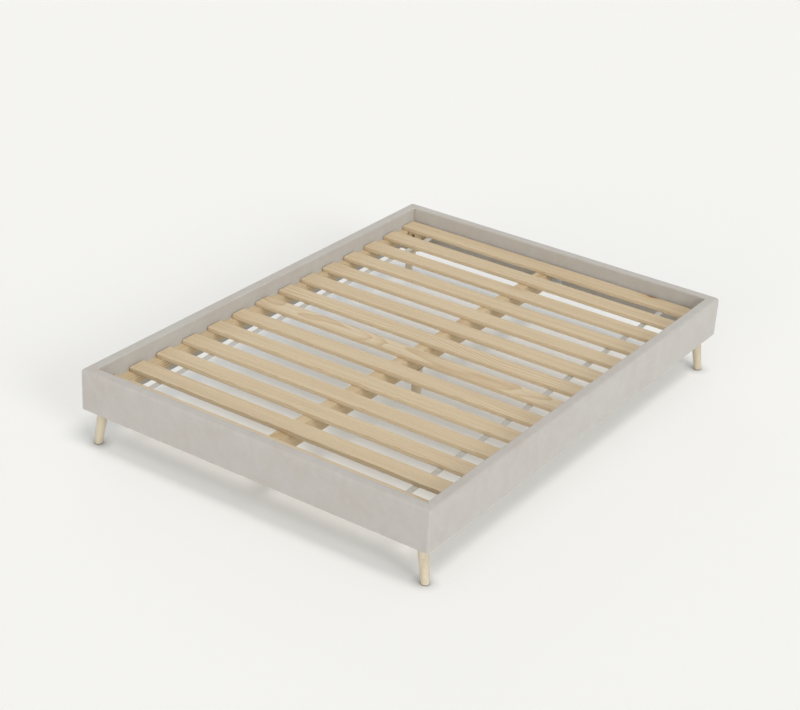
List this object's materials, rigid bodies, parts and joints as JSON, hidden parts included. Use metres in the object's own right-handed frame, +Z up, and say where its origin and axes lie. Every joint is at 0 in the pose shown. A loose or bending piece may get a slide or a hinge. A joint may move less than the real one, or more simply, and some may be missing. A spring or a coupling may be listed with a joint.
{
  "type": "upholstered bed frame with wooden legs",
  "caption": "Low double bed frame: padded fabric rails round a lift-out slatted base with a centre beam, on four splayed wooden legs and a levelling support foot.",
  "frame": {"origin": "on the floor at the centre of the footprint", "axes": "+Y along the bed from the foot to the head, +X to the right seen from the foot, +Z up"},
  "size_m": [1.5, 2.1, 0.313],
  "materials": {
    "cover_fabric": "matte",
    "foam": "matte",
    "board_wood": "matte",
    "leg_wood": "satin",
    "slat_wood": "satin",
    "beam_wood": "matte",
    "zinc_steel": "satin",
    "black_steel": "satin",
    "brass_tack": "satin",
    "webbing": "matte",
    "felt": "matte",
    "foot_plastic": "matte"
  },
  "bodies": {
    "frame": {"beam_bracket_screws": "zinc_steel", "centre_beam": "beam_wood", "corner_block_foot_left": "beam_wood", "corner_block_foot_right": "beam_wood", "corner_block_head_left": "beam_wood", "corner_block_head_right": "beam_wood", "corner_bolts": "zinc_steel", "corner_inserts": "zinc_steel", "corner_washers": "zinc_steel", "foot_beam_bracket": "zinc_steel", "foot_rail_board": "board_wood", "foot_rail_cover": "cover_fabric", "foot_rail_foam": "foam", "hanger_bolts": "zinc_steel", "head_beam_bracket": "zinc_steel", "head_rail_board": "board_wood", "head_rail_cover": "cover_fabric", "head_rail_foam": "foam", "ledger_screws": "zinc_steel", "left_ledger": "beam_wood", "left_rail_board": "board_wood", "left_rail_cover": "cover_fabric", "left_rail_foam": "foam", "leg_foot_left": "leg_wood", "leg_foot_right": "leg_wood", "leg_glides": "felt", "leg_head_left": "leg_wood", "leg_head_right": "leg_wood", "leg_plate_screws": "zinc_steel", "leg_plates": "black_steel", "right_ledger": "beam_wood", "right_rail_board": "board_wood", "right_rail_cover": "cover_fabric", "right_rail_foam": "foam", "support_insert": "zinc_steel", "support_leg": "leg_wood", "support_leg_plate": "zinc_steel", "support_lock_nut": "zinc_steel", "support_plate_screws": "zinc_steel"},
    "slat_base": {"left_strap": "webbing", "right_strap": "webbing", "slat_01": "slat_wood", "slat_02": "slat_wood", "slat_03": "slat_wood", "slat_04": "slat_wood", "slat_05": "slat_wood", "slat_06": "slat_wood", "slat_07": "slat_wood", "slat_08": "slat_wood", "slat_09": "slat_wood", "slat_10": "slat_wood", "slat_11": "slat_wood", "slat_12": "slat_wood", "slat_13": "slat_wood", "slat_14": "slat_wood", "strap_tacks": "brass_tack"},
    "levelling_foot": {"support_foot_pad": "foot_plastic"},
    "levelling_stem": {"support_stem": "zinc_steel"}
  },
  "joints": [
    {"name": "slat_base_lift", "type": "slide", "parent": "frame", "child": "slat_base", "axis": [0, 0, 1], "range_m": [0, 0.3]},
    {"name": "levelling_foot_travel", "type": "slide", "parent": "frame", "child": "levelling_foot", "axis": [0, 0, 1], "range_m": [0, 0.01]},
    {"name": "levelling_stem_turn", "type": "hinge", "parent": "levelling_foot", "child": "levelling_stem", "pos_m": [0, 0, 0.02], "axis": [0, 0, 1], "range_deg": [0, 2880]}
  ],
  "couplings": [
    {"joint": "levelling_foot_travel", "follows": "levelling_stem_turn", "m_per_rad": 0.00019894}
  ]
}
